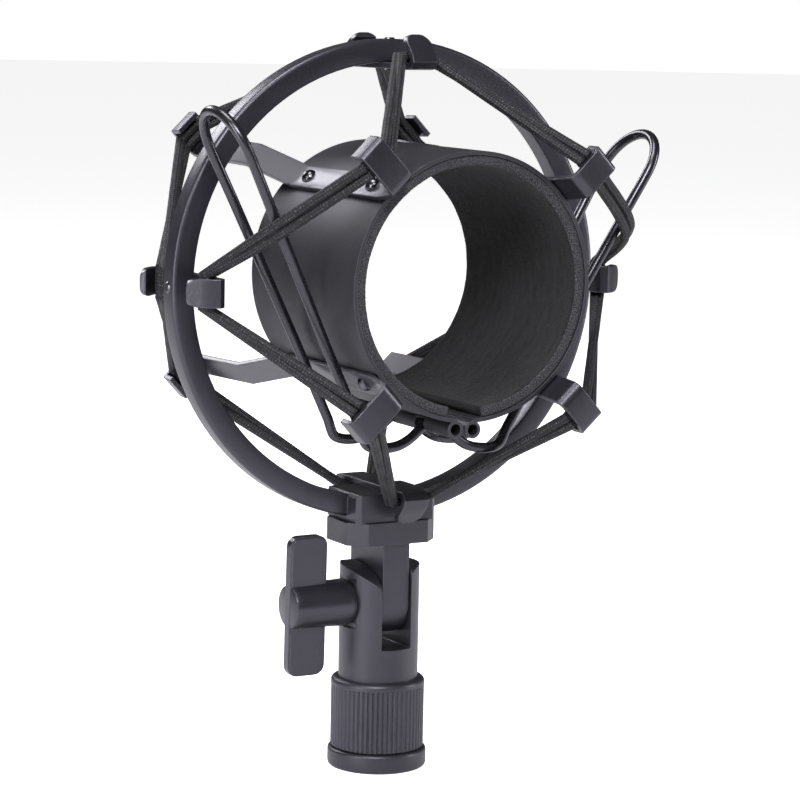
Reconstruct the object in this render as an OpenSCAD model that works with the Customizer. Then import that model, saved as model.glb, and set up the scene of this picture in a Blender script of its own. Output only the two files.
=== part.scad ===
// Suspension mount for a large condenser microphone.
// Millimetres, +Z up. The origin is the centre of the stand-thread mouth.
// The ring faces -Y, and the tightening handle is on the -X side.

/* [Stand nut] */
// Radius of the flanged bottom collar
collar_r = 10.5; // [9.8:0.1:12]
// Height of the flanged bottom collar
collar_h = 4.1; // [3:0.1:6]
// Radius over the grip ribs
knurl_r = 9.9; // [9.7:0.1:10.4]
// Height of the top of the grip sleeve
knurl_top = 19.2; // [18.8:0.1:22]
// Number of grip ribs
knurl_n = 58; // [30:2:72]
// Major radius of the 5/8 inch stand thread
thread_r = 7.94; // [7.5:0.01:8.1]
// Depth of the stand thread
thread_depth = 13.5; // [12:0.5:13.5]

/* [Swivel] */
// Radius of the round swivel body
body_r = 8.44; // [8:0.01:8.6]
// Height of the tips of the two ears
ear_top = 43.6; // [42:0.1:44.5]
// Width of the slot between the ears
slot_w = 7.0; // [6.8:0.1:8]
// Height of the bottom of the slot
slot_z = 26.2; // [25:0.1:27]
// Height of the tilt pivot
pivot_z = 35.8; // [35:0.1:36.5]
// Thickness of the tongue between the ears
tongue_w = 6.2; // [5.8:0.1:6.4]
// Depth of the tongue, front to back
tongue_d = 14.2; // [12:0.1:15]
// Width of the head block under the ring
head_w = 21; // [18:0.5:24]
// Depth of the head block
head_d = 15.5; // [14:0.5:18]

/* [T handle] */
// Radius of the handle shaft at its outer end
shaft_r = 4.6; // [4:0.1:5]
// Length of the handle shaft along X
shaft_l = 13.4; // [12:0.1:15]
// Height of the flat blade
blade_h = 29.8; // [26:0.1:32]
// Width of the flat blade along X
blade_w = 8.6; // [8:0.1:10]
// Thickness of the flat blade
blade_t = 2.6; // [2.4:0.1:4]

/* [Ring] */
// Outer radius of the suspension ring
ring_r = 50; // [48:0.5:54]
// Inner radius of the suspension ring
ring_ri = 45.3; // [44:0.1:46]
// Depth of the ring, front to back
ring_d = 5.2; // [4:0.1:7]
// Height of the ring centre
ring_z = 103.6; // [103.6:0.1:104.5]
// Width of the hook strips
strip_w = 5.7; // [5:0.1:6.2]

/* [Cradle] */
// Outer radius of the clamp band
band_r = 27.1; // [26:0.1:28]
// Thickness of the clamp band
band_t = 0.8; // [0.6:0.1:1]
// Front edge of the band on Y
band_front = -36; // [-38:0.5:-34]
// Rear edge of the band on Y
band_rear = 8; // [4:0.5:10]
// Thickness of the felt liner
felt_t = 2.1; // [1.5:0.1:2.4]
// Height of the cradle centre
cradle_z = 105.4; // [104.5:0.1:106.5]
// Resting roll of the cradle in its cords, degrees
cradle_roll = -3; // [-4:0.5:0]
// Radius of the open curl on each band edge
curl_r = 1.75; // [1.7:0.05:1.9]

/* [Wire handles] */
// Radius of the spring wire
wire_r = 1.1; // [0.9:0.05:1.2]
// Distance between the two legs of a handle at its loop
leg_gap = 17; // [15:0.5:18]
// Resting angle of the T handle about its shaft, degrees
handle_turn = 1.5; // [-90:0.5:90]
// Length of a handle from the band to its loop end
wire_l = 52; // [48:0.5:54]

/* [Elastic] */
// Radius of the elastic cord
cord_r = 0.95; // [0.9:0.05:1.2]

/* [Hidden] */

black = [0.12, 0.12, 0.13];
steel = [0.55, 0.56, 0.58];
felt = [0.16, 0.16, 0.16];
cordc = [0.08, 0.08, 0.08];

// Bracket angles round the cradle axis, measured from +X, before the resting roll.
bracket_a = [47, 137, 226, 315];
// Plane of the front and rear bracket hooks.
by_front = -42.6;
by_rear = 41;
eps = 0.01;

// ---------- helpers ----------
// Puts a shape drawn with Z along the axis so that its axis runs along -Y.
module along_y() { rotate([90, 0, 0]) children(); }
// Cradle frame: X right, Y back, Z up from the cradle centre, with its resting roll.
module in_cradle() { translate([0, 0, cradle_z]) rotate([0, -cradle_roll, 0]) children(); }
// A flat strip bent along a line of [y, r] points, at one angle round an axis through the origin.
module strip(pts, a, w) {
    rotate([0, -a, 0]) translate([0, 0, -w/2]) linear_extrude(height = w)
        polygon([for (p = pts) [p[1], p[0]]]);
}
// Radial offset of a line of [y, r] points to one side by t (miter joints).
function unit(v) = v / norm(v);
function nrm(a, b) = let (d = unit(b - a)) [-d[1], d[0]];
function miter(p, i, t) =
    let (n = len(p), a = i > 0 ? nrm(p[i-1], p[i]) : nrm(p[0], p[1]),
         b = i < n-1 ? nrm(p[i], p[i+1]) : nrm(p[n-2], p[n-1]), m = unit(a + b))
    p[i] + m * t / (m * a);
function ribbon(p, t) = concat(p, [for (i = [len(p)-1 : -1 : 0]) miter(p, i, t)]);
// Points on an arc, centre c, radius r, from angle a to b.
function arc(c, r, a, b, n) = [for (i = [0 : n]) let (t = a + (b - a) * i / n) c + r * [cos(t), sin(t)]];

// A tube swept along points, with 8 sides. closed joins the last ring to the first.
function cross3(a, b) = [a[1]*b[2]-a[2]*b[1], a[2]*b[0]-a[0]*b[2], a[0]*b[1]-a[1]*b[0]];
function tang(p, i, closed) = let (n = len(p))
    closed ? unit(unit(p[(i+1)%n] - p[i]) + unit(p[i] - p[(i+n-1)%n]))
    : i == 0 ? unit(p[1] - p[0]) : i == n-1 ? unit(p[n-1] - p[n-2])
    : unit(unit(p[i+1] - p[i]) + unit(p[i] - p[i-1]));
function side_a(t) = unit(cross3(t, abs(t[1]) < 0.9 ? [0, 1, 0] : [1, 0, 0]));
// Frames carried along the line, so the tube doesn't twist.
function carry(p, closed, i = 0, a = undef, acc = []) =
    i == len(p) ? acc :
    let (t = tang(p, i, closed), a0 = is_undef(a) ? side_a(t) : unit(a - t * (a * t)))
    carry(p, closed, i + 1, a0, concat(acc, [[t, a0]]));
module tube(p, r, closed = false, k = 8) {
    n = len(p);
    f = carry(p, closed);
    // the closing twist of a closed line, spread evenly over its length
    pts = [for (i = [0 : n-1]) let (t = f[i][0], a = f[i][1], b = cross3(t, a))
        for (j = [0 : k-1]) let (q = 360 * j / k) p[i] + r * (cos(q) * a + sin(q) * b)];
    off = closed ? let (a1 = f[n-1][1] - f[0][0] * (f[n-1][1] * f[0][0]), b0 = cross3(f[0][0], f[0][1]),
        w = atan2(unit(a1) * b0, unit(a1) * f[0][1])) round(w * k / 360) : 0;
    sides = concat(
        [for (i = [0 : n-2]) for (j = [0 : k-1]) each
            [[i*k+j, i*k+(j+1)%k, (i+1)*k+(j+1)%k], [i*k+j, (i+1)*k+(j+1)%k, (i+1)*k+j]]],
        closed ? [for (j = [0 : k-1]) let (u = (j + off + 2*k) % k, v = (j + 1 + off + 2*k) % k) each
            [[(n-1)*k+j, (n-1)*k+(j+1)%k, v], [(n-1)*k+j, v, u]]]
        : concat([[for (j = [k-1 : -1 : 0]) j]], [[for (j = [0 : k-1]) (n-1)*k+j]]));
    polyhedron(points = pts, faces = [for (s = sides) [for (i = [len(s)-1 : -1 : 0]) s[i]]], convexity = 10);
}

// ---------- stand nut ----------
module thread_insert() color(black) difference() {
    rotate_extrude($fn = 96) polygon(concat([[0, 0]],
        arc([collar_r - 0.9, 0.9], 0.9, -90, 0, 6), arc([collar_r - 0.7, collar_h - 0.7], 0.7, 0, 90, 6),
        [[9.0, collar_h], [9.0, thread_depth], [0, thread_depth]]));
    translate([0, 0, -1]) cylinder(r = thread_r, h = thread_depth + 2, $fn = 96);
}
// Outline of the ribbed sleeve, one flat-topped rib for each step.
function rib(i, q) = let (a = 360 / knurl_n * (i + q[0])) (knurl_r - q[1]) * [cos(a), sin(a)];
module knurled_sleeve() color(black) difference() {
    union() {
        translate([0, 0, collar_h + 0.35]) linear_extrude(height = knurl_top - 1.5 - collar_h - 0.35)
            polygon([for (i = [0 : knurl_n - 1]) for (q = [[0, 0.28], [0.28, 0], [0.72, 0]]) rib(i, q)]);
        // smooth rounded flange above the ribs
        rotate_extrude($fn = 96) polygon(concat([[8.2, knurl_top - 1.6], [knurl_r + 0.06, knurl_top - 1.6], [knurl_r + 0.06, knurl_top - 1.0]],
            arc([knurl_r - 0.94, knurl_top - 1.0], 1.0, 15, 90, 5), [[8.2, knurl_top]]));
    }
    translate([0, 0, 0]) cylinder(r = 9.0, h = 16.3, $fn = 96);
    translate([0, 0, 10]) cylinder(r = body_r + 0.08, h = 20, $fn = 96);
}

// ---------- swivel ----------
// Cut above the ears in [y, z]: the handle-side ear slopes down to a rounded front corner,
// and the other ear is level with a small rounding.
module ear_cut() {
    translate([-15, 0, 0]) rotate([90, 0, 90]) linear_extrude(height = 15)
        polygon(concat([[-12, 60], [-12, 38], [-7.8, 38.2], [-7.5, 39.4], [-7.0, 40.2], [-6.2, 40.95], [-5.2, 41.6], [-4.2, 42.15],
            [-2.1, 42.95], [0.5, 43.4], [2.8, 43.55]], arc([5.4, ear_top - 2.2], 2.2, 92, 20, 5), [[12, ear_top - 3.5], [12, 60]]));
    translate([0, 0, 0]) rotate([90, 0, 90]) linear_extrude(height = 15)
        polygon(concat([[-12, 60], [-12, ear_top - 3]], arc([-5.2, ear_top - 2.6], 2.6, 185, 95, 6),
            arc([5.2, ear_top - 2.6], 2.6, 85, -5, 6), [[12, ear_top - 3], [12, 60]]));
}
module swivel_body() color(black) difference() {
    union() {
        rotate_extrude($fn = 96) polygon([[0, 14], [8.75, 14], [8.9, 14.2], [8.9, 16], [body_r, 16],
            [body_r, ear_top + 0.4], [0, ear_top + 0.4]]);
    }
    // slot for the tongue
    translate([-slot_w/2, -15, slot_z]) cube([slot_w, 30, 40]);
    ear_cut();
    // screw hole, and the flats that the handle and the nut bear on
    translate([-15, 0, pivot_z]) rotate([0, 90, 0]) cylinder(r = 2.6, h = 30, $fn = 48);
    translate([-20, -20, pivot_z - 5.3]) cube([20 - 7.6, 40, 10.6]);
    translate([4.6, 0, pivot_z]) rotate([0, 90, 0]) cylinder(r = 4.35, h = 8, $fn = 6);
}
module swivel_tongue() color(black) difference() {
    union() {
        // tongue, round at its lower end about the pivot
        translate([-tongue_w/2, 0, 0]) rotate([90, 0, 90]) linear_extrude(height = tongue_w)
            polygon(concat(arc([0, pivot_z], tongue_d/2, 180, 360, 28), [[tongue_d/2, 49.2], [-tongue_d/2, 49.2]]));
        // head block with chamfered corners
        translate([0, 0, 48.7]) linear_extrude(height = 4.8) polygon([for (s = [[1, 1], [-1, 1], [-1, -1], [1, -1]])
            each (s[0]*s[1] > 0 ? [[s[0]*head_w/2, s[1]*(head_d/2-3.4)], [s[0]*(head_w/2-3.4), s[1]*head_d/2]]
                : [[s[0]*(head_w/2-3.4), s[1]*head_d/2], [s[0]*head_w/2, s[1]*(head_d/2-3.4)]])]);
    }
    translate([-15, 0, pivot_z]) rotate([0, 90, 0]) cylinder(r = 2.55, h = 30, $fn = 48);
    // counterbored holes for the two ring screws, from below
    for (x = [-7, 7]) translate([x, 0, 40]) { cylinder(r = 1.3, h = 20, $fn = 32); cylinder(r = 2.4, h = 10.6, $fn = 32); }
}
module friction_washers() color(steel) for (s = [-1, 1])
    translate([s > 0 ? tongue_w/2 + 0.02 : -tongue_w/2 - 0.37, 0, pivot_z]) rotate([0, 90, 0]) difference() {
        cylinder(r = 6.4, h = 0.35, $fn = 64);
        translate([0, 0, -1]) cylinder(r = 2.56, h = 3, $fn = 48);
    }
// The screw is turned by the handle. It runs right through both ears.
module clamp_screw() color(steel) translate([-13, 0, pivot_z]) rotate([0, 90, 0]) {
    cylinder(r = 2.48, h = 20.3, $fn = 48);
    translate([0, 0, 20.3]) cylinder(r1 = 2.48, r2 = 1.9, h = 0.6, $fn = 48);
}
// Thin spring washer between the handle and the ear, carried along by the handle's travel.
module washer_carriage() color(steel) translate([-8.35, 0, pivot_z]) rotate([0, 90, 0]) difference() {
    cylinder(r = 4.4, h = 0.6, $fn = 64);
    translate([0, 0, -1]) cylinder(r = 2.56, h = 3, $fn = 48);
}
module t_handle() color(black) translate([-8.45, 0, pivot_z]) rotate([handle_turn, 0, 0]) difference() {
    union() {
        // slightly tapered shaft with a soft outer edge
        rotate([0, -90, 0]) rotate_extrude($fn = 96) polygon(concat([[0, 0], [4.9, 0], [5.0, 0.3], [shaft_r, shaft_l - 0.5],
            [shaft_r - 0.15, shaft_l - 0.15], [shaft_r - 0.5, shaft_l], [0, shaft_l]]));
        // flat blade with rounded corners
        translate([-shaft_l + blade_w/2 - 0.1, blade_t/2, 0]) rotate([90, 0, 0]) {
            rr = 2.2;
            translate([0, 0, 0.35]) linear_extrude(height = blade_t - 0.7) blade_outline(rr, 0);
            linear_extrude(height = blade_t) blade_outline(rr, 0.35);
        }
    }
    rotate([0, -90, 0]) translate([0, 0, -1]) cylinder(r = 2.48, h = 5.6, $fn = 48);
}
module blade_outline(rr, in) polygon([for (c = [[1, 1, 0], [-1, 1, 90], [-1, -1, 180], [1, -1, 270]])
    each arc([c[0]*(blade_w/2 - rr), c[1]*(blade_h/2 - rr)], rr - in, c[2], c[2] + 90, 6)]);
module hex_nut() color(steel) translate([4.62, 0, pivot_z]) rotate([0, 90, 0]) difference() {
    cylinder(r = 4.3, h = 2.6, $fn = 6);
    translate([0, 0, -1]) cylinder(r = 2.52, h = 5, $fn = 48);
}

// ---------- ring ----------
module outer_ring() color(black) difference() {
    union() {
        translate([0, 0, ring_z]) along_y() rotate_extrude($fn = 192)
            polygon(concat(arc([ring_r-0.9, ring_d/2-0.9], 0.9, 0, 90, 5), arc([ring_ri+0.5, ring_d/2-0.5], 0.5, 90, 180, 3),
                arc([ring_ri+0.5, -ring_d/2+0.5], 0.5, 180, 270, 3), arc([ring_r-0.9, -ring_d/2+0.9], 0.9, 270, 360, 5)));
        // lug that sits on the head block
        intersection() {
            translate([0, 0, 53.5]) linear_extrude(height = 6.1) polygon([[-lug_w, -6.2], [-lug_w + 0.9, -7.1], [lug_w - 0.9, -7.1],
                [lug_w, -6.2], [lug_w, 6.2], [lug_w - 0.9, 7.1], [-lug_w + 0.9, 7.1], [-lug_w, 6.2]]);
            translate([0, 10, 0]) rotate([90, 0, 0]) linear_extrude(height = 20)
                polygon([[-lug_w, 53.5], [lug_w, 53.5], [lug_w, 58.6], [lug_w - 0.6, 59.5], [-lug_w + 0.6, 59.5], [-lug_w, 58.6]]);
        }
    }
    // clear inside of the ring
    translate([0, 0, ring_z]) along_y() translate([0, 0, -ring_d/2 - 6]) cylinder(r = ring_ri - 1.2, h = ring_d + 12, $fn = 192);
    for (x = [-7, 7]) translate([x, 0, 50]) cylinder(r = 1.3, h = 7.6, $fn = 32);
}
lug_w = 9.4;         // half width of the lug
module ring_screws() color(steel) for (x = [-7, 7]) translate([x, 0, 0]) {
    translate([0, 0, 49.0]) cylinder(r = 2.3, h = 1.6, $fn = 32);
    translate([0, 0, 50.5]) cylinder(r = 1.3, h = 6.6, $fn = 32);
}
// Side line of a ring hook in [y, r]: along the inside of the ring, then turned out and back.
function ring_hook_half(s) = [[s * 2, ring_ri - 0.05], [s * 12.9, ring_ri - 0.05],
    [s * 13.55, ring_ri + 0.1], [s * 13.85, ring_ri + 0.5], [s * 13.6, ring_ri + 1.1], [s * 10.0, 50.2]];
module ring_hook(a) color(black) translate([0, 0, ring_z]) difference() {
    p = concat([for (i = [5 : -1 : 0]) ring_hook_half(-1)[i]], ring_hook_half(1));
    strip(ribbon(p, -1.3), a, strip_w);
    // rounded tab corners
    for (s = [-1, 1]) rotate([0, -a, 0]) translate([50.2 + 0.9, s * 10.0, 0]) tab_cut();
    rotate([0, 90 - a, 0]) translate([0, 0, 40]) cylinder(r = 0.9, h = 8, $fn = 32);
}
module tab_cut() for (m = [-1, 1]) scale([1, 1, 1]) translate([-2.2, 0, m * (strip_w/2 - 2.2)]) difference() {
    translate([0, -4, m > 0 ? 0 : -3.2]) cube([6, 8, 3.2]);
    rotate([90, 0, 0]) translate([0, 0, -5]) cylinder(r = 2.2, h = 10, $fn = 32);
}
module hook_top() ring_hook(90);
module hook_left() ring_hook(180);
// The bottom hook lies on top of the lug, so it stands a little further in.
hook_lift = 1.25;
module hook_bottom() translate([0, 0, hook_lift]) ring_hook(270);
module hook_right() ring_hook(0);
module ring_rivets() color(steel) for (a = [0, 90, 180]) translate([0, 0, ring_z]) rotate([0, 90 - a, 0]) {
    translate([0, 0, ring_ri - 1.75]) cylinder(r = 1.7, h = 0.4, $fn = 32);
    translate([0, 0, ring_ri - 1.4]) cylinder(r = 0.88, h = 6.2, $fn = 32);
    translate([0, 0, ring_r - 0.12]) cylinder(r1 = 1.3, r2 = 0.9, h = 0.4, $fn = 32);
}

// ---------- cradle ----------
split_x = 2.0;       // centre of each curl from the split
curl_z = -(band_r + 1.35);
gap_deg = 4.0;       // half angle of the gap in the band
module band_sector(r, w0, y0, y1) {
    // solid of all angles except w0 degrees either side of straight down
    translate([0, y1, 0]) rotate([90, 0, 0]) rotate([0, 0, -90 + w0])
        rotate_extrude(angle = 360 - 2 * w0, $fn = 160) translate([r[0], 0]) square([r[1] - r[0], y1 - y0]);
}
module clamp_band() color(black) in_cradle() difference() {
    union() {
        band_sector([band_r - band_t, band_r], gap_deg, band_front, band_rear);
        for (s = [-1, 1]) translate([s * split_x, band_rear, curl_z]) rotate([90, 0, 0])
            difference() { cylinder(r = curl_r, h = band_rear - band_front, $fn = 48);
                translate([0, 0, -1]) cylinder(r = wire_r + 0.08, h = band_rear - band_front + 2, $fn = 48); }
    }
    // windows in the curls where the wire legs come in
    for (y = [-1, 1]) translate([-8, band_mid + y * leg_y(-16) - 1.9, curl_z - 3]) cube([16, 3.8, 4.0]);
}
band_mid = -17.5;
module felt_liner() color(felt) in_cradle()
    band_sector([band_r - band_t - felt_t, band_r - band_t], 9, band_front + 0.4, band_rear - 0.4);

// Side line of a bracket in [y, r], along the band, with a hook at each end.
lip_f = 4.4;
// Outer radius of each bracket's front hook, in the order of bracket_a.
hook_r = [37.4, 39.5, 39.6, 37.5];
function bracket_line(i) = let (r0 = band_r + 0.02, R = hook_r[i]) concat(
    [[by_front + lip_f, R]], arc([by_front + 1.2, R - 1.2], 1.2, 90, 180, 4),
    arc([by_front + 2.2, 28.2 + 2.2], 2.2, 180, 262, 6),
    [[-34, r0], [2, r0], [16.4, 32.2]], arc([by_rear - 2.2, 32.9 + 2.2], 2.2, 275, 360, 6),
    arc([by_rear - 1.2, 39.8], 1.2, 0, 90, 4), [[by_rear - lip_f, 41.2]]);
module bracket(i) color(black) in_cradle() difference() {
    strip(ribbon(bracket_line(i), 1.0), bracket_a[i], strip_w);
    for (y = rivet_y) rotate([0, 90 - bracket_a[i], 0]) translate([0, y, 20]) cylinder(r = 0.9, h = 12, $fn = 32);
}
rivet_y = [-29, -2.2];
module bracket_upper_right() bracket(0);
module bracket_upper_left() bracket(1);
module bracket_lower_left() bracket(2);
module bracket_lower_right() bracket(3);
module bracket_rivets() color(steel) in_cradle() for (a = bracket_a) for (y = rivet_y)
    rotate([0, 90 - a, 0]) translate([0, y, band_r - 0.5]) {
        cylinder(r = 0.88, h = 1.9, $fn = 32);
        translate([0, 0, 1.54]) rotate_extrude($fn = 32) polygon(concat([[0, 0], [1.6, 0]], arc([0, -0.6], 1.75, 20, 90, 6)));
    }

// ---------- wire handles ----------
// The wire touches the band's side at one point and runs straight up to its loop.
foot = band_r + wire_r + 1.1;
lean = 28.5;
fdir = [-sin(lean), cos(lean)];
fpt = foot * [-cos(lean), -sin(lean)];
function leg_xz(t) = fpt + fdir * t;
// Half the distance between the legs, which spread apart towards the loop.
function leg_y(t) = 6.8 + (leg_gap/2 - 6.8) * max(t, 0) / (wire_l - leg_gap/2);
// Lower end of a leg: from the straight part round under the curl and up into its side.
function low(y) = [for (q = [leg_xz(-15.5), leg_xz(-17.8), [-15.6, -33.0], [-13.6, -33.7], [-11.0, -33.75], [-8.0, -33.2],
    [-5.6, -31.9], [-3.6, -30.1]]) [q[0], y, q[1]]];
function loop_end() = [for (i = [0 : 14]) let (a = 180 * i / 14, c = leg_xz(wire_l - leg_gap/2))
    [c[0] + fdir[0] * leg_gap/2 * sin(a), band_mid - leg_gap/2 * cos(a), c[1] + fdir[1] * leg_gap/2 * sin(a)]];
function rev(v) = [for (i = [len(v)-1 : -1 : 0]) v[i]];
function wire_line() = let (y0 = band_mid - leg_y(0), y1 = band_mid + leg_y(0)) concat(
    [[-split_x, y0 + 5.2, curl_z], [-split_x, y0 + 1.5, curl_z], [-split_x - 0.35, y0 + 0.45, curl_z - 0.4]], rev(low(y0)),
    [[leg_xz(0)[0], y0, leg_xz(0)[1]]], loop_end(), [[leg_xz(0)[0], y1, leg_xz(0)[1]]], low(y1),
    [[-split_x - 0.35, y1 - 0.45, curl_z - 0.4], [-split_x, y1 - 1.5, curl_z], [-split_x, y1 - 5.2, curl_z]]);
module left_wire_handle() color(black) in_cradle() tube(wire_line(), wire_r, k = 10);
module right_wire_handle() color(black) in_cradle() mirror([1, 0, 0]) tube(wire_line(), wire_r, k = 10);

// ---------- elastic ----------
// A point in the ring's hooks: side s front (-1) or rear (1), angle a, radius r, across w.
function ring_pt(s, a, r, yy, w) = [r*cos(a) - w*sin(a), s*yy, ring_z + r*sin(a) + w*cos(a)];
function cradle_pt(a, r, y, w) = let (x = r*cos(a) - w*sin(a), z = r*sin(a) + w*cos(a), c = cradle_roll)
    [x*cos(c) - z*sin(c), y, cradle_z + x*sin(c) + z*cos(c)];
// A point near a front wire leg, distance t up from where it touches the band, n out from
// the plane of the handle and f forward of the leg.
function wire_pt(side, t, n, f) = let (q = leg_xz(t) + n * [-fdir[1], fdir[0]], x = side * -q[0], z = q[1], c = cradle_roll)
    [x*cos(c) - z*sin(c), band_mid - leg_y(t) - f, cradle_z + x*sin(c) + z*cos(c)];
// One turn of cord round the four ring hooks and four brackets. lane 0 is the inner cord, 1 the outer.
hw = strip_w/2 + 0.5;
function turn(s, lane) = let (rr = 46.5, ry = 11.2 - 1.95 * lane, cy = s < 0 ? by_front + 2.3 : by_rear - 2.3)
    [for (k = [0 : 3]) each let (cr = (s < 0 ? hook_r[k] : 41) - 4.6 + 2.0 * lane) concat(
    [for (w = [-hw, 0, hw]) ring_pt(s, 90*k, rr + (w == 0 ? 0 : -0.2) - (k == 3 ? hook_lift : 0), ry, w)],
    // the upper side runs pass over the front wire legs
    s < 0 && k == 0 ? [wire_pt(1, 29.2 + 2.0*lane, 1.4, 2.1)] : [],
    [for (w = [-hw, 0, hw]) cradle_pt(bracket_a[k], cr + (w == 0 ? 0.1 : 0), cy, w)],
    s < 0 && k == 1 ? [wire_pt(-1, 26.5 + 2.0*lane, 1.4, 2.1)] : [])];
module front_elastic() color(cordc) for (l = [0, 1]) tube(turn(-1, l), cord_r, closed = true);
module rear_elastic() color(cordc) for (l = [0, 1]) tube(turn(1, l), cord_r, closed = true);

thread_insert();
knurled_sleeve();
swivel_body();
swivel_tongue();
friction_washers();
clamp_screw();
washer_carriage();
t_handle();
hex_nut();
outer_ring();
ring_screws();
hook_top();
hook_left();
hook_bottom();
hook_right();
ring_rivets();
clamp_band();
felt_liner();
bracket_upper_right();
bracket_upper_left();
bracket_lower_left();
bracket_lower_right();
bracket_rivets();
left_wire_handle();
right_wire_handle();
front_elastic();
rear_elastic();
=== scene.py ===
import math

import bpy
import numpy as np
from mathutils import Matrix, Vector


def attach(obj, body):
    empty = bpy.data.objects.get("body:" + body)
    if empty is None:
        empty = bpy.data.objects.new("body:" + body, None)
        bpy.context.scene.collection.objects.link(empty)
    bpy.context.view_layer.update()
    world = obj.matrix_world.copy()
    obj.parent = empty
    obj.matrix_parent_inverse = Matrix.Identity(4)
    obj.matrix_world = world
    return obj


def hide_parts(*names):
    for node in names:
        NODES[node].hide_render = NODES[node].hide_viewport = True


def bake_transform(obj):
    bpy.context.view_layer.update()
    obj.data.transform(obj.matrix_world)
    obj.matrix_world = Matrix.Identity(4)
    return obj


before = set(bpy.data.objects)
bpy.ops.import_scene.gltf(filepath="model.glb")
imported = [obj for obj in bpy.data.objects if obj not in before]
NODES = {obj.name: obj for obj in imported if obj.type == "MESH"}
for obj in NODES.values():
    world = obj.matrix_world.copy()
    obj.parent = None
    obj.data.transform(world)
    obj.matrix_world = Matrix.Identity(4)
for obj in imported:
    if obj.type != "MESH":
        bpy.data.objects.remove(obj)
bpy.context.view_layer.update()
scene = bpy.context.scene
MM = 0.001

# ------------------------------------------------------------------ camera
AZ, EL, ROLL = math.radians(-29.712), math.radians(7.907), math.radians(1.095)
TARGET = Vector((4.174, 0, 78.025)) * MM
DIST = 617.5 * MM
back = Vector((math.sin(AZ) * math.cos(EL), -math.cos(AZ) * math.cos(EL), math.sin(EL)))
cx = Vector((0, 0, 1)).cross(back).normalized()
cy = back.cross(cx)
rx = math.cos(ROLL) * cx + math.sin(ROLL) * cy
ry = -math.sin(ROLL) * cx + math.cos(ROLL) * cy
cpos = TARGET + back * DIST
cam = bpy.data.cameras.new("camera")
cam_ob = bpy.data.objects.new("camera", cam)
scene.collection.objects.link(cam_ob)
cam_ob.matrix_world = Matrix(((rx.x, ry.x, back.x, cpos.x), (rx.y, ry.y, back.y, cpos.y),
                              (rx.z, ry.z, back.z, cpos.z), (0, 0, 0, 1)))
cam.sensor_width = 36
cam.lens = 131.86
cam.clip_start = 0.01
cam.clip_end = 50
cam.dof.use_dof = False
scene.camera = cam_ob

# ------------------------------------------------------------------ light and floor
scene.view_settings.view_transform = "Standard"
world = bpy.data.worlds.new("studio")
scene.world = world
world.use_nodes = True
bg = world.node_tree.nodes["Background"]
bg.inputs["Color"].default_value = (1, 1, 1, 1)
# white to look at, dimmer as a light, so that the softboxes shape the dark paint
lp = world.node_tree.nodes.new("ShaderNodeLightPath")
wm = world.node_tree.nodes.new("ShaderNodeMapRange")
wm.inputs["To Min"].default_value = 0.075
wm.inputs["To Max"].default_value = 1.0
world.node_tree.links.new(lp.outputs["Is Camera Ray"], wm.inputs["Value"])
world.node_tree.links.new(wm.outputs[0], bg.inputs["Strength"])


def area(name, loc, target, sx, sy, watts):
    li = bpy.data.lights.new(name, "AREA")
    li.shape = "RECTANGLE"
    li.size, li.size_y, li.energy = sx, sy, watts
    li.color = (0.95, 0.94, 1.0)
    ob = bpy.data.objects.new(name, li)
    scene.collection.objects.link(ob)
    ob.location = loc
    ob.rotation_euler = (Vector(target) - Vector(loc)).to_track_quat("-Z", "Y").to_euler()
    return ob


area("key", (-0.34, -0.52, 0.60), (0, 0, 0.09), 0.26, 0.26, 7.5)
area("top", (-0.16, 0.02, 0.80), (0, 0, 0.10), 0.40, 0.30, 4.8)
area("right", (0.70, -0.35, 0.22), (0, 0, 0.09), 0.14, 0.50, 3.2)
area("left", (-0.72, -0.20, 0.22), (0, 0, 0.09), 0.14, 0.50, 3.4)
area("back", (-0.16, 0.74, 0.52), (0, 0, 0.10), 0.30, 0.22, 2.4)


# ------------------------------------------------------------------ materials
def new_mat(name):
    m = bpy.data.materials.new(name)
    m.use_nodes = True
    nt = m.node_tree
    nt.nodes.clear()
    out = nt.nodes.new("ShaderNodeOutputMaterial")
    bs = nt.nodes.new("ShaderNodeBsdfPrincipled")
    nt.links.new(bs.outputs[0], out.inputs[0])
    return m, nt, bs


def node(nt, kind, **kw):
    n = nt.nodes.new(kind)
    for k, v in kw.items():
        if k.startswith("_"):
            n.inputs[k[1:].replace("_", " ")].default_value = v
        else:
            setattr(n, k, v)
    return n


def noise(nt, co, scale, detail=2.0, rough=0.5):
    n = nt.nodes.new("ShaderNodeTexNoise")
    n.inputs["Scale"].default_value = scale
    n.inputs["Detail"].default_value = detail
    n.inputs["Roughness"].default_value = rough
    nt.links.new(co, n.inputs["Vector"])
    return n.outputs["Fac"]


def ramp(nt, fac, stops):
    r = nt.nodes.new("ShaderNodeValToRGB")
    el = r.color_ramp.elements
    while len(el) < len(stops):
        el.new(0.5)
    for e, (p, c) in zip(el, stops):
        e.position = p
        e.color = (c[0], c[1], c[2], 1) if hasattr(c, "__len__") else (c, c, c, 1)
    nt.links.new(fac, r.inputs[0])
    return r.outputs[0]


def mix(nt, fac, a, b):
    n = nt.nodes.new("ShaderNodeMix")
    n.data_type = "RGBA"
    for sock, v in ((n.inputs[0], fac), (n.inputs[6], a), (n.inputs[7], b)):
        if hasattr(v, "is_linked") or isinstance(v, bpy.types.NodeSocket):
            nt.links.new(v, sock)
        else:
            sock.default_value = v if sock is n.inputs[0] else (v[0], v[1], v[2], 1)
    return n.outputs[2]


def maths(nt, op, a, b=None):
    n = nt.nodes.new("ShaderNodeMath")
    n.operation = op
    for sock, v in ((n.inputs[0], a), (n.inputs[1], b)):
        if v is None:
            continue
        if isinstance(v, bpy.types.NodeSocket):
            nt.links.new(v, sock)
        else:
            sock.default_value = v
    return n.outputs[0]


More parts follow.
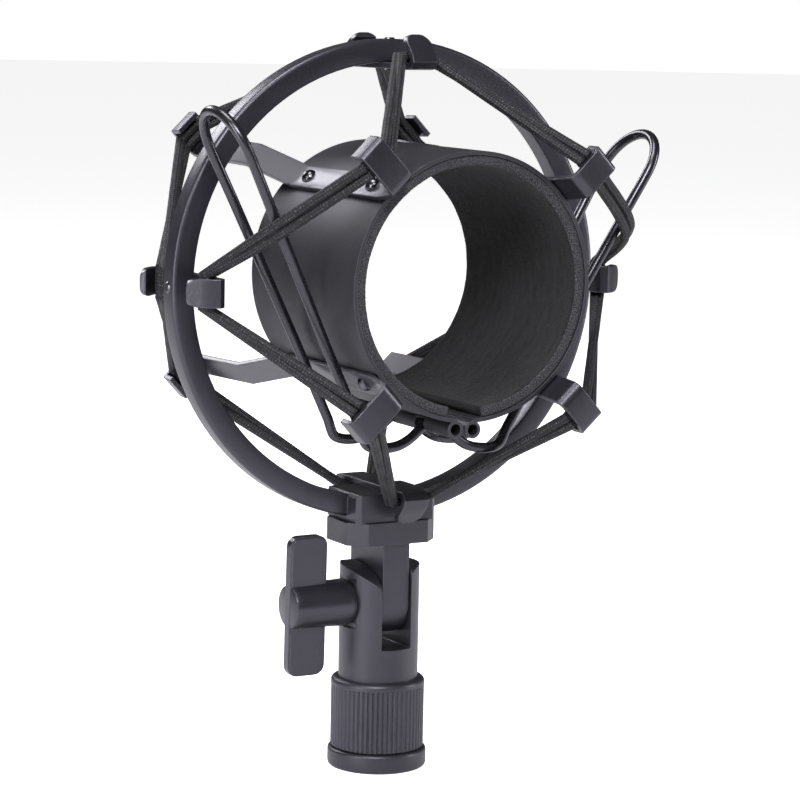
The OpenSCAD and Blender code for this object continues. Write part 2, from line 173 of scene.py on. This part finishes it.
def edge_mask(nt, radius):
    """1 on rounded outer edges and corners, 0 on flats; and the rounded normal."""
    bv = nt.nodes.new("ShaderNodeBevel")
    bv.samples = 6
    bv.inputs["Radius"].default_value = radius
    geo = nt.nodes.new("ShaderNodeNewGeometry")
    dot = nt.nodes.new("ShaderNodeVectorMath")
    dot.operation = "DOT_PRODUCT"
    nt.links.new(bv.outputs[0], dot.inputs[0])
    nt.links.new(geo.outputs["Normal"], dot.inputs[1])
    return bv.outputs[0], maths(nt, "SUBTRACT", 1.0, dot.outputs["Value"])


def bump(nt, height, dist, strength=1.0, normal=None):
    b = nt.nodes.new("ShaderNodeBump")
    b.inputs["Distance"].default_value = dist
    b.inputs["Strength"].default_value = strength
    nt.links.new(height, b.inputs["Height"])
    if normal is not None:
        nt.links.new(normal, b.inputs["Normal"])
    return b.outputs[0]


def obj_co(nt):
    return nt.nodes.new("ShaderNodeTexCoord").outputs["Object"]


def paint(name, base, rough, grain=0.00003, edge=0.00030, edge_wear_and_highlight=0.5, metallic=0.0):
    m, nt, bs = new_mat(name)
    co = obj_co(nt)
    normal, em = edge_mask(nt, edge)
    fine = noise(nt, co, 2600, 2.0)
    broad = noise(nt, co, 60, 3.0)
    tone = ramp(nt, broad, [(0.3, [c * 0.82 for c in base]), (0.7, [c * 1.15 for c in base])])
    speck = ramp(nt, fine, [(0.56, 0.0), (0.76, 1.0)])
    tone = mix(nt, maths(nt, "MULTIPLY", speck, 0.22), tone, [min(1, c * 2.6) for c in base])
    # paint rubbed thin along the edges, plus a painted highlight: the edge colour is lightened to stand in for light
    # caught on the rounded edges
    worn_edge_and_highlight = maths(nt, "MULTIPLY", ramp(nt, em, [(0.02, 0.0), (0.16, 1.0)]),
                 ramp(nt, noise(nt, co, 260, 4.0, 0.6), [(0.30, 0.35), (0.62, 1.0)]))
    tone = mix(nt, maths(nt, "MULTIPLY", worn_edge_and_highlight, edge_wear_and_highlight), tone, [min(1, c * 5.0 + 0.05) for c in base])
    nt.links.new(tone, bs.inputs["Base Color"])
    rr = nt.nodes.new("ShaderNodeMapRange")
    rr.inputs["To Min"].default_value = rough - 0.07
    rr.inputs["To Max"].default_value = rough + 0.09
    nt.links.new(fine, rr.inputs["Value"])
    nt.links.new(rr.outputs[0], bs.inputs["Roughness"])
    bs.inputs["Metallic"].default_value = metallic
    bs.inputs["Specular IOR Level"].default_value = 0.60
    bs.inputs["Specular Tint"].default_value = (0.93, 0.90, 1.0, 1.0)
    nt.links.new(bump(nt, fine, grain, 0.9, normal), bs.inputs["Normal"])
    return m


PAINT = (0.0115, 0.0110, 0.0145)
# the edge wear strength also sets how strong the painted edge highlight is
m_ring = paint("ring_paint", PAINT, 0.34)
m_base = paint("cast_paint", (0.0130, 0.0125, 0.0160), 0.40, grain=0.00004)
m_knurl = paint("knurl_paint", (0.0140, 0.0135, 0.0175), 0.42, edge=0.00016, edge_wear_and_highlight=0.45)
m_hook = paint("strip_paint", (0.0105, 0.0100, 0.0130), 0.31, edge=0.00042, edge_wear_and_highlight=0.6)
m_band = paint("band_paint", (0.0060, 0.0060, 0.0070), 0.52, edge=0.00020, edge_wear_and_highlight=0.9)


def enamel(name, base, rough):
    m, nt, bs = new_mat(name)
    co = obj_co(nt)
    nt.links.new(ramp(nt, noise(nt, co, 160, 3.0), [(0.3, [c * 0.8 for c in base]), (0.7, [c * 1.3 for c in base])]), bs.inputs["Base Color"])
    nt.links.new(ramp(nt, noise(nt, co, 420, 3.0), [(0.3, rough - 0.04), (0.7, rough + 0.06)]), bs.inputs["Roughness"])
    bs.inputs["Specular IOR Level"].default_value = 0.60
    bs.inputs["Specular Tint"].default_value = (0.93, 0.91, 1.0, 1.0)
    nt.links.new(bump(nt, noise(nt, co, 700, 2.0), 0.00001, 0.5), bs.inputs["Normal"])
    return m


m_wire = enamel("wire_enamel", (0.0060, 0.0060, 0.0072), 0.26)
m_handle = paint("handle_paint", (0.0120, 0.0115, 0.0150), 0.30, edge=0.00030, edge_wear_and_highlight=0.6)


def steel(name, base, rough):
    m, nt, bs = new_mat(name)
    co = obj_co(nt)
    mp = nt.nodes.new("ShaderNodeMapping")
    mp.inputs["Scale"].default_value = (400, 3000, 3000)
    nt.links.new(co, mp.inputs[0])
    lines = noise(nt, mp.outputs[0], 1.0, 3.0)
    nt.links.new(ramp(nt, lines, [(0.3, [c * 0.75 for c in base]), (0.7, [c * 1.1 for c in base])]), bs.inputs["Base Color"])
    nt.links.new(ramp(nt, noise(nt, co, 300, 3.0), [(0.2, rough - 0.08), (0.8, rough + 0.1)]), bs.inputs["Roughness"])
    normal, em = edge_mask(nt, 0.00015)
    nt.links.new(bump(nt, lines, 0.00001, 0.6, normal), bs.inputs["Normal"])
    bs.inputs["Metallic"].default_value = 1.0
    return m


m_steel = steel("turned_steel", (0.20, 0.20, 0.215), 0.35)
m_rivet = steel("rivet_steel", (0.10, 0.10, 0.11), 0.24)


def felt_mat():
    m, nt, bs = new_mat("felt")
    co = obj_co(nt)
    sep = nt.nodes.new("ShaderNodeSeparateXYZ")
    nt.links.new(co, sep.inputs[0])
    cell = noise(nt, co, 4600, 3.0, 0.7)
    fib = noise(nt, co, 5200, 2.0, 0.6)
    blot = noise(nt, co, 90, 4.0, 0.6)
    face = ramp(nt, blot, [(0.3, (0.0026, 0.0025, 0.0024)), (0.7, (0.0060, 0.0055, 0.0053))])
    lint = ramp(nt, fib, [(0.60, 0.0), (0.80, 0.55)])
    face = mix(nt, lint, face, (0.026, 0.0245, 0.024))
    # the cut ends show light and dark fibres
    cut = ramp(nt, cell, [(0.34, (0.005, 0.005, 0.0055)), (0.50, (0.024, 0.024, 0.026)), (0.68, (0.12, 0.12, 0.13))])
    front = maths(nt, "LESS_THAN", sep.outputs["Y"], -0.03535)
    rear = maths(nt, "GREATER_THAN", sep.outputs["Y"], 0.00735)
    ends = maths(nt, "MAXIMUM", front, rear)
    nt.links.new(mix(nt, ends, face, cut), bs.inputs["Base Color"])
    bs.inputs["Roughness"].default_value = 0.95
    bs.inputs["Specular IOR Level"].default_value = 0.15
    bs.inputs["Sheen Weight"].default_value = 0.08
    bs.inputs["Sheen Roughness"].default_value = 0.5
    nt.links.new(bump(nt, cell, 0.00025, 0.9), bs.inputs["Normal"])
    return m


m_felt = felt_mat()


def braid_mat():
    """Black braid with fine light flecks; the UV map runs round and along the cord, in millimetres."""
    m, nt, bs = new_mat("braided_elastic")
    uv = nt.nodes.new("ShaderNodeUVMap")
    uv.uv_map = "cord"
    sep = nt.nodes.new("ShaderNodeSeparateXYZ")
    nt.links.new(uv.outputs[0], sep.inputs[0])
    a = maths(nt, "SINE", maths(nt, "MULTIPLY", maths(nt, "ADD", sep.outputs[0], sep.outputs[1]), 4.8))
    b = maths(nt, "SINE", maths(nt, "MULTIPLY", maths(nt, "SUBTRACT", sep.outputs[0], sep.outputs[1]), 4.8))
    weave_relief_and_shade = maths(nt, "ADD", maths(nt, "MULTIPLY", maths(nt, "MULTIPLY", a, b), 0.5), 0.5)
    co = obj_co(nt)
    fl = noise(nt, co, 2400, 2.0, 0.7)
    # painted shade in the grooves of the weave and painted highlight on its crests, following the braid relief
    base = ramp(nt, weave_relief_and_shade, [(0.0, (0.0006, 0.0006, 0.0008)), (0.55, (0.0028, 0.0028, 0.0034)), (1.0, (0.016, 0.0155, 0.0185))])
    fleck = maths(nt, "MULTIPLY", ramp(nt, fl, [(0.52, 0.0), (0.68, 1.0)]), ramp(nt, weave_relief_and_shade, [(0.35, 0.0), (0.80, 0.75)]))
    nt.links.new(mix(nt, fleck, base, (0.10, 0.10, 0.115)), bs.inputs["Base Color"])
    bs.inputs["Roughness"].default_value = 0.62
    bs.inputs["Specular IOR Level"].default_value = 0.28
    bs.inputs["Sheen Weight"].default_value = 0.03
    nt.links.new(bump(nt, weave_relief_and_shade, 0.00012, 0.8), bs.inputs["Normal"])
    return m


m_braid = braid_mat()

for n, o in NODES.items():
    if n in ("outer_ring",):
        mm = m_ring
    elif n in ("knurled_sleeve",):
        mm = m_knurl
    elif n in ("thread_insert", "swivel_body", "swivel_tongue", "washer_carriage"):
        mm = m_base
    elif n == "t_handle":
        mm = m_handle
    elif n.startswith(("hook_", "bracket_")) and n != "bracket_rivets":
        mm = m_hook
    elif n == "clamp_band":
        mm = m_band
    elif n in ("ring_rivets", "bracket_rivets"):
        mm = m_rivet
    elif n.endswith("wire_handle"):
        mm = m_wire
    elif n == "felt_liner":
        mm = m_felt
    elif n.endswith("elastic"):
        mm = m_braid
    else:
        mm = m_steel
    if not o.material_slots:
        o.data.materials.append(mm)
    for s in o.material_slots:
        s.material = mm

# smooth the curved CAD faces: weld the imported mesh and keep only real edges sharp
def smooth_group():
    g = bpy.data.node_groups.new("weld_and_smooth", "GeometryNodeTree")
    g.interface.new_socket(name="Geometry", in_out="INPUT", socket_type="NodeSocketGeometry")
    g.interface.new_socket(name="Geometry", in_out="OUTPUT", socket_type="NodeSocketGeometry")
    gi = g.nodes.new("NodeGroupInput")
    go = g.nodes.new("NodeGroupOutput")
    mg = g.nodes.new("GeometryNodeMergeByDistance")
    mg.inputs["Distance"].default_value = 0.000002
    s1 = g.nodes.new("GeometryNodeSetShadeSmooth")
    s1.domain = "FACE"
    ang = g.nodes.new("GeometryNodeInputMeshEdgeAngle")
    cmp = g.nodes.new("FunctionNodeCompare")
    cmp.data_type = "FLOAT"
    cmp.operation = "LESS_THAN"
    cmp.inputs[1].default_value = math.radians(24)
    s2 = g.nodes.new("GeometryNodeSetShadeSmooth")
    s2.domain = "EDGE"
    g.links.new(gi.outputs[0], mg.inputs[0])
    g.links.new(mg.outputs[0], s1.inputs[0])
    g.links.new(ang.outputs["Unsigned Angle"], cmp.inputs[0])
    g.links.new(s1.outputs[0], s2.inputs[0])
    g.links.new(cmp.outputs[0], s2.inputs["Shade Smooth"])
    g.links.new(s2.outputs[0], go.inputs[0])
    return g


GROUP = smooth_group()
for n, o in NODES.items():
    if "custom_normal" in o.data.attributes:
        o.data.attributes.remove(o.data.attributes["custom_normal"])
    md = o.modifiers.new("weld_and_smooth", "NODES")
    md.node_group = GROUP


# ------------------------------------------------------------------ mesh helpers
def add_mesh(name, verts, faces, mat, uvs=None, smooth=True):
    me = bpy.data.meshes.new(name)
    me.from_pydata([tuple(v) for v in verts], [], faces)
    if smooth:
        me.shade_smooth()
    if uvs is not None:
        layer = me.uv_layers.new(name="cord")
        li = np.zeros(len(me.loops), np.int32)
        me.loops.foreach_get("vertex_index", li)
        layer.data.foreach_set("uv", np.asarray(uvs, np.float32)[li].ravel())
    me.materials.append(mat)
    me.validate()
    ob = bpy.data.objects.new(name, me)
    scene.collection.objects.link(ob)
    return ob


def catmull(pts, step):
    """Even points, step apart, on a smooth curve through pts (centripetal)."""
    p = np.asarray(pts, float)
    p = np.vstack([2 * p[0] - p[1], p, 2 * p[-1] - p[-2]])
    out = []
    for i in range(1, len(p) - 2):
        p0, p1, p2, p3 = p[i - 1:i + 3]
        t0 = 0.0
        t1 = t0 + np.linalg.norm(p1 - p0) ** 0.5
        t2 = t1 + np.linalg.norm(p2 - p1) ** 0.5
        t3 = t2 + np.linalg.norm(p3 - p2) ** 0.5
        for t in np.linspace(t1, t2, 24, endpoint=False):
            a1 = (t1 - t) / (t1 - t0) * p0 + (t - t0) / (t1 - t0) * p1
            a2 = (t2 - t) / (t2 - t1) * p1 + (t - t1) / (t2 - t1) * p2
            a3 = (t3 - t) / (t3 - t2) * p2 + (t - t2) / (t3 - t2) * p3
            b1 = (t2 - t) / (t2 - t0) * a1 + (t - t0) / (t2 - t0) * a2
            b2 = (t3 - t) / (t3 - t1) * a2 + (t - t1) / (t3 - t1) * a3
            out.append((t2 - t) / (t2 - t1) * b1 + (t - t1) / (t2 - t1) * b2)
    out.append(p[-2])
    q = np.array(out)
    s = np.concatenate([[0], np.cumsum(np.linalg.norm(np.diff(q, axis=0), axis=1))])
    n = max(2, int(round(s[-1] / step)))
    u = np.linspace(0, s[-1], n + 1)
    return np.stack([np.interp(u, s, q[:, k]) for k in range(3)], 1)


def sweep(path, radius, k=16, shape=None, v0=0.0):
    """Closed tube along path (mm). Returns verts (m), faces and a UV for each vertex (mm)."""
    p = np.asarray(path, float)
    t = np.gradient(p, axis=0)
    t /= np.linalg.norm(t, axis=1)[:, None]
    a = np.cross(t[0], [0, 1, 0] if abs(t[0][1]) < 0.9 else [1, 0, 0])
    a /= np.linalg.norm(a)
    s = np.concatenate([[0], np.cumsum(np.linalg.norm(np.diff(p, axis=0), axis=1))]) + v0
    verts, uvs = [], []
    for i in range(len(p)):
        a = a - t[i] * a.dot(t[i])
        a /= np.linalg.norm(a)
        b = np.cross(t[i], a)
        for j in range(k):
            th = 2 * math.pi * j / k
            r = radius if shape is None else radius * shape(th, s[i])
            verts.append((p[i] + r * (math.cos(th) * a + math.sin(th) * b)) * MM)
            uvs.append((th * radius, s[i]))
    faces = []
    for i in range(len(p) - 1):
        for j in range(k):
            j2 = (j + 1) % k
            faces.append((i * k + j, i * k + j2, (i + 1) * k + j2, (i + 1) * k + j))
    faces.append(tuple(range(k - 1, -1, -1)))
    faces.append(tuple((len(p) - 1) * k + j for j in range(k)))
    return verts, faces, uvs


def join(parts):
    v, f, u = [], [], []
    for pv, pf, pu in parts:
        o = len(v)
        v += list(pv)
        f += [tuple(i + o for i in face) for face in pf]
        u += list(pu)
    return v, f, u


# ------------------------------------------------------------------ dimensions shared with the CAD frame (mm)
RING_Z, CRADLE_Z, ROLLC = 103.6, 105.4, math.radians(-3)
BAND_R, BAND_MID, STRIP_W = 27.1, -17.5, 5.7
CURL_Z, SPLIT_X = -(27.1 + 1.35), 2.0
BRACKET_A = [47, 137, 226, 315]
HOOK_R = [37.4, 39.5, 39.6, 37.5]
BY_FRONT, BY_REAR = -42.6, 41
HW = STRIP_W / 2 + 0.5
HOOK_LIFT = 1.25
WIRE_R, WIRE_L, LEG_GAP = 1.1, 52.0, 17.0
LEAN = math.radians(28.5)
FOOT = BAND_R + WIRE_R + 1.1
FD = np.array([-math.sin(LEAN), math.cos(LEAN)])
FP = FOOT * np.array([-math.cos(LEAN), -math.sin(LEAN)])


def cradle(x, y, z):
    c, s = math.cos(ROLLC), math.sin(ROLLC)
    return np.array([x * c - z * s, y, CRADLE_Z + x * s + z * c])


def ring_pt(s, deg, r, yy, w):
    a = math.radians(deg)
    return np.array([r * math.cos(a) - w * math.sin(a), s * yy, RING_Z + r * math.sin(a) + w * math.cos(a)])


def cradle_pt(deg, r, y, w):
    a = math.radians(deg)
    return cradle(r * math.cos(a) - w * math.sin(a), y, r * math.sin(a) + w * math.cos(a))


def leg_xz(t):
    return FP + FD * t


def leg_y(t):
    return 6.8 + (LEG_GAP / 2 - 6.8) * max(t, 0) / (WIRE_L - LEG_GAP / 2)


def wire_pt(side, t, n, f):
    q = leg_xz(t) + n * np.array([-FD[1], FD[0]])
    return cradle(side * -q[0], BAND_MID - leg_y(t) - f, q[1])


# ------------------------------------------------------------------ wire handles
def wire_path(side):
    def low(y):
        q = [leg_xz(-15.5), leg_xz(-17.8), (-15.6, -33.0), (-13.6, -33.7), (-11.0, -33.75), (-8.0, -33.2), (-5.6, -31.9), (-3.6, -30.1)]
        return [(a[0], y, a[1]) for a in q]
    y0, y1 = BAND_MID - leg_y(0), BAND_MID + leg_y(0)
    pts = [(-SPLIT_X, y0 + 5.2, CURL_Z), (-SPLIT_X, y0 + 1.5, CURL_Z), (-SPLIT_X - 0.35, y0 + 0.45, CURL_Z - 0.4)]
    pts += low(y0)[::-1]
    for t in (-8.0, 0.0, 10.0, 20.0, 32.0):
        pts.append((leg_xz(t)[0], BAND_MID - leg_y(t), leg_xz(t)[1]))
    c = leg_xz(WIRE_L - LEG_GAP / 2)
    for i in range(15):
        a = math.pi * i / 14
        pts.append((c[0] + FD[0] * LEG_GAP / 2 * math.sin(a), BAND_MID - LEG_GAP / 2 * math.cos(a), c[1] + FD[1] * LEG_GAP / 2 * math.sin(a)))
    for t in (32.0, 20.0, 10.0, 0.0, -8.0):
        pts.append((leg_xz(t)[0], BAND_MID + leg_y(t), leg_xz(t)[1]))
    pts += low(y1)
    pts += [(-SPLIT_X - 0.35, y1 - 0.45, CURL_Z - 0.4), (-SPLIT_X, y1 - 1.5, CURL_Z), (-SPLIT_X, y1 - 5.2, CURL_Z)]
    return [cradle(-side * x, y, z) for x, y, z in pts]


for side, nm in ((-1, "left"), (1, "right")):
    v, f, u = sweep(catmull(wire_path(side), 0.5), WIRE_R - 0.06, 20)
    ob = add_mesh(nm + "_handle_wire", v, f, m_wire, u)
    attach(ob, nm + "_handle")
    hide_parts(nm + "_wire_handle")


# ------------------------------------------------------------------ elastic cords
def braid_shape(th, s):
    return 1.0 + 0.075 * math.cos(6 * th + 4.8 * s) * math.cos(6 * th - 4.8 * s)


CORD_R = 0.98
wraps_ring, wraps_cradle = [], []
for s, nm in ((-1, "front"), (1, "rear")):
    strands = {}
    wr, wc = [], []
    for lane in (0, 1):
        rr0, ry_ = 46.5, 11.2 - 1.95 * lane
        cyy = BY_FRONT + 2.3 if s < 0 else BY_REAR - 2.3
        for k in range(4):
            cr = (HOOK_R[k] if s < 0 else 41) - 4.6 + 2.0 * lane
            rr = rr0 - (HOOK_LIFT if k == 3 else 0)
            ring_in = ring_pt(s, 90 * k, rr - 0.2, ry_, -HW)
            ring_mid = ring_pt(s, 90 * k, rr, ry_, 0)
            ring_out = ring_pt(s, 90 * k, rr - 0.2, ry_, HW)
            c_in = cradle_pt(BRACKET_A[k], cr, cyy, -HW)
            c_mid = cradle_pt(BRACKET_A[k], cr + 0.1, cyy, 0)
            c_out = cradle_pt(BRACKET_A[k], cr, cyy, HW)
            kn = (k + 1) % 4
            nxt = ring_pt(s, 90 * kn, rr0 - 0.2 - (HOOK_LIFT if kn == 3 else 0), ry_, -HW)
            up = [wire_pt(1, 29.2 + 2.0 * lane, 1.4, 2.1)] if s < 0 and k == 0 else []
            dn = [wire_pt(-1, 26.5 + 2.0 * lane, 1.4, 2.1)] if s < 0 and k == 1 else []
            wr.append(sweep(catmull([ring_in, ring_mid, ring_out], 0.4), CORD_R, 20, braid_shape))
            wc.append(sweep(catmull([c_in, c_mid, c_out], 0.4), CORD_R, 20, braid_shape))
            strands.setdefault((k, 0), []).append([ring_out] + up + [c_in])
            strands.setdefault((k, 1), []).append([c_out] + dn + [nxt])
    for (k, half), lanes in strands.items():
        name = "%s_strand_%d%s" % (nm, k, "ab"[half])
        ends, near = [], []
        for pts in lanes:
            a, b = np.array(pts[0]), np.array(pts[-1])
            d = (b - a) / np.linalg.norm(b - a)
            mid = [np.array(p) for p in pts[1:-1]]
            q = catmull([a - d * 0.8, a] + mid + [b, b + d * 0.8], 0.34)
            cut = int(np.argmin(np.linalg.norm(q - mid[0], axis=1))) if mid else 0
            ring_side, cradle_side = (q[:cut + 1], q[cut:]) if half == 0 else (q[cut:], q[:cut + 1])
            if not mid:
                ring_side, cradle_side = q, None
            ends.append(sweep(ring_side, CORD_R, 20, braid_shape))
            if cradle_side is not None:
                near.append(sweep(cradle_side, CORD_R, 20, braid_shape))
        v, f, u = join(ends)
        ob = add_mesh(name, v, f, m_braid, u)
        # a strand pressed by a wire is carried with the cradle from the wire to the bracket
        if half == 0:
            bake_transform(ob)
        else:
            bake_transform(ob)
        if near:
            v, f, u = join(near)
            ob = add_mesh(name + "_on_wire", v, f, m_braid, u)
            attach(ob, "cradle")
    v, f, u = join(wr)
    ob = add_mesh(nm + "_cord_in_ring_hooks", v, f, m_braid, u)
    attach(ob, "ring")
    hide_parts(nm + "_elastic")
    v, f, u = join(wc)
    ob = add_mesh(nm + "_cord_in_brackets", v, f, m_braid, u)
    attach(ob, "cradle")


# ------------------------------------------------------------------ felt liner
rng = np.random.default_rng(7)


def felt_liner():
    r0, r1 = 24.2, 26.28
    y0, y1 = -35.6, 7.6
    n = 620
    prof = []
    for y in np.linspace(y0 + 0.25, y1 - 0.25, 60):
        prof.append((r0, y, 0))
    prof += [(r0 + 0.25, y1 - 0.02, 1), (r0 + 0.7, y1, 1), (r0 + 1.15, y1, 1), (r1 - 0.35, y1, 1), (r1, y1 - 0.08, 1)]
    for y in np.linspace(y1 - 3, y0 + 3, 6):
        prof.append((r1, y, 2))
    prof += [(r1, y0 + 0.08, 1), (r1 - 0.35, y0, 1), (r0 + 1.35, y0, 1), (r0 + 1.0, y0, 1), (r0 + 0.6, y0, 1), (r0 + 0.25, y0 + 0.02, 1)]
    m = len(prof)
    a0, a1 = math.radians(-90 + 9), math.radians(270 - 9)
    verts = []
    slow = rng.normal(0, 1, (n // 10 + 3, m))
    for i in range(n + 1):
        a = a0 + (a1 - a0) * i / n
        q = i / 10
        for j, (r, y, kind) in enumerate(prof):
            w = slow[int(q), j] * (1 - q % 1) + slow[int(q) + 1, j] * (q % 1)
            if kind == 0:
                dr, dy = 0.03 * w + rng.normal(0, 0.018), 0.0
            elif kind == 1:
                dr = rng.normal(0, 0.05)
                dy = rng.normal(0, 0.09) * (1 if abs(y) > 0 else 0)
                dr = min(dr, r1 - r) if r < r1 else 0
            else:
                dr = dy = 0
            if kind == 1:
                dy = abs(dy) * (-1 if y < 0 else 1) * 0.8
            verts.append(cradle((r + dr) * math.cos(a), y + dy, (r + dr) * math.sin(a)) * MM)
    faces = []
    for i in range(n):
        for j in range(m):
            j2 = (j + 1) % m
            faces.append((i * m + j, i * m + j2, (i + 1) * m + j2, (i + 1) * m + j))
    faces.append(tuple(range(m - 1, -1, -1)))
    faces.append(tuple(n * m + j for j in range(m)))
    return verts, faces


v, f = felt_liner()
ob = add_mesh("felt_lining", v, f, m_felt)
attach(ob, "cradle")
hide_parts("felt_liner")


# ------------------------------------------------------------------ stand thread, 27 turns to the inch
def thread():
    pitch, rmaj, rmin = 25.4 / 27, 7.94, 7.42
    z0, z1 = 1.2, 13.2
    k = 72
    turns = (z1 - z0) / pitch - 1
    n = int(turns * k)
    verts, faces = [], []
    for i in range(n + 1):
        a = 2 * math.pi * i / k
        z = z0 + pitch * i / k + 0.5 * pitch
        g = min(1.0, i / 18, (n - i) / 18)
        for dr, dz in ((0.0, -0.44), (rmaj - rmin, -0.06), (rmaj - rmin, 0.06), (0.0, 0.44)):
            r = rmaj - dr * g
            verts.append(Vector((r * math.cos(a), r * math.sin(a), z + dz * pitch * 1.02)) * MM)
        faces_here = i < n
        if faces_here:
            b = i * 4
            for j in range(4):
                j2 = (j + 1) % 4
                faces.append((b + j, b + 4 + j, b + 4 + j2, b + j2))
    faces.append((3, 2, 1, 0)[::-1])
    b = n * 4
    faces.append((b + 3, b + 2, b + 1, b))
    return verts, faces


v, f = thread()
ob = add_mesh("stand_thread_ridge", v, f, m_steel, smooth=False)
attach(ob, "stand_nut")

# ------------------------------------------------------------------ floor
bpy.ops.mesh.primitive_circle_add(vertices=96, radius=6.0, fill_type="NGON", location=(0, 0, 0))
floor = bpy.context.object
floor.name = "floor"
fm, nt, bs = new_mat("floor")
fl = noise(nt, obj_co(nt), 3.0, 2.0)
nt.links.new(ramp(nt, fl, [(0.3, (0.90, 0.90, 0.905)), (0.7, (0.93, 0.93, 0.93))]), bs.inputs["Base Color"])
bs.inputs["Roughness"].default_value = 0.85
bs.inputs["Specular IOR Level"].default_value = 0.1
bs.inputs["Emission Color"].default_value = (1, 1, 1, 1)
fp = nt.nodes.new("ShaderNodeLightPath")
nt.links.new(maths(nt, "MULTIPLY", fp.outputs["Is Camera Ray"], 0.84), bs.inputs["Emission Strength"])
floor.data.materials.append(fm)
